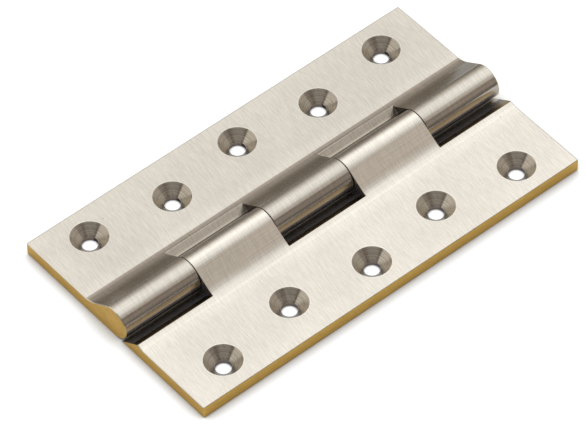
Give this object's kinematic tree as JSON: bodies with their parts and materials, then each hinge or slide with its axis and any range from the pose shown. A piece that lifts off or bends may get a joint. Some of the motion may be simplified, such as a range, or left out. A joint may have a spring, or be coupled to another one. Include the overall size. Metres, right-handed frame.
{
  "type": "butt hinge",
  "caption": "Solid drawn butt hinge lying open flat, with interlocking knuckles on a riveted pin and staggered countersunk screw holes in both leaves.",
  "frame": {"origin": "on the plane of the leaves' backs, under the middle of the pin", "axes": "+X along the pin, +Y from the pin towards the leaf with three knuckles, +Z out of the leaves' faces, on the countersunk side"},
  "size_m": [0.125, 0.071, 0.0097],
  "materials": {
    "leaf_metal": "satin nickel plate with a fine brushed grain, bare brass on the sawn ends and outer edges",
    "pin_metal": "plain drawn brass, riveted ends dressed flush"
  },
  "bodies": {
    "three_knuckle_half": {"three_knuckle_leaf": "leaf_metal", "hinge_pin": "pin_metal"},
    "two_knuckle_half": {"two_knuckle_leaf": "leaf_metal"}
  },
  "joints": [
    {"name": "leaf_swing", "type": "hinge", "parent": "three_knuckle_half", "child": "two_knuckle_half", "pos_m": [0, 0, 0.00485], "axis": [-1, 0, 0], "range_deg": [0, 180]}
  ]
}
